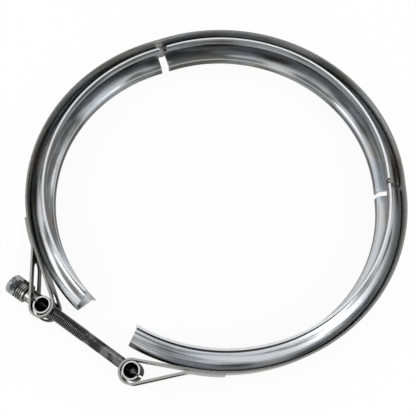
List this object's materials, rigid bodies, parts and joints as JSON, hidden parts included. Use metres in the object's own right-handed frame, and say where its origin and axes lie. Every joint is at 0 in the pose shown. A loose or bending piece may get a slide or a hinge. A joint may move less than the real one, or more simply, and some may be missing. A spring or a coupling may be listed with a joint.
{
  "type": "v band clamp",
  "caption": "V band clamp for an exhaust joint, open: a looped spring strap carries V section retainers and a T bolt with a lock nut draws its ends together.",
  "frame": {"origin": "on the ring's axis, midway between the retainers' two edges, at the centre of the back retainer's circle", "axes": "+Z along the ring's axis, towards one pipe; +Y from the origin through the middle of the back retainer; the opening with the T bolt lies at -Y"},
  "size_m": [0.2713, 0.2865, 0.0296],
  "materials": {
    "strap_steel": "satin",
    "retainer_steel": "satin",
    "tube_steel": "satin",
    "bolt_steel": "smooth, dark",
    "sleeve_steel": "turned",
    "nut_steel": "plated"
  },
  "bodies": {
    "band_middle": {"band_strap": "strap_steel", "retainer_back": "retainer_steel"},
    "left_arm": {"retainer_left": "retainer_steel"},
    "right_arm": {"retainer_right": "retainer_steel"},
    "bolt": {"head_tube": "tube_steel", "t_bolt": "bolt_steel"},
    "trunnion": {"trunnion_tube": "tube_steel"},
    "sleeve": {"thrust_sleeve": "sleeve_steel"},
    "nut": {"lock_nut": "nut_steel"}
  },
  "joints": [
    {"name": "left_arm_flex", "type": "hinge", "parent": "band_middle", "child": "left_arm", "pos_m": [-0.11167, 0.06538, 0], "axis": [0, 0, 1], "range_deg": [0, 5.18], "deforming": ["band_strap"]},
    {"name": "right_arm_flex", "type": "hinge", "parent": "band_middle", "child": "right_arm", "pos_m": [0.11138, 0.06587, 0], "axis": [0, 0, 1], "range_deg": [-4.11, 0], "deforming": ["band_strap"]},
    {"name": "bolt_swing", "type": "hinge", "parent": "right_arm", "child": "bolt", "pos_m": [0.03272, -0.14577, 0], "axis": [0, 0, 1], "range_deg": [0, 3.94]},
    {"name": "trunnion_turn", "type": "hinge", "parent": "left_arm", "child": "trunnion", "pos_m": [-0.03838, -0.14828, 0], "axis": [0, 0, 1], "range_deg": [-5.35, 0]},
    {"name": "sleeve_slide", "type": "slide", "parent": "bolt", "child": "sleeve", "axis": [0.9994, 0.0352, 0], "range_m": [0, 0.034]},
    {"name": "nut_spin", "type": "hinge", "parent": "sleeve", "child": "nut", "pos_m": [-0.05337, -0.14881, 0], "axis": [0.9994, 0.0352, 0], "range_deg": [0, 11559.48]}
  ],
  "couplings": [
    {"joint": "left_arm_flex", "follows": "nut_spin", "ratio": 0.00044812},
    {"joint": "right_arm_flex", "follows": "nut_spin", "ratio": -0.00035555},
    {"joint": "bolt_swing", "follows": "nut_spin", "ratio": 0.00034093},
    {"joint": "trunnion_turn", "follows": "nut_spin", "ratio": -0.00046274},
    {"joint": "sleeve_slide", "follows": "nut_spin", "m_per_rad": 0.00016844}
  ]
}
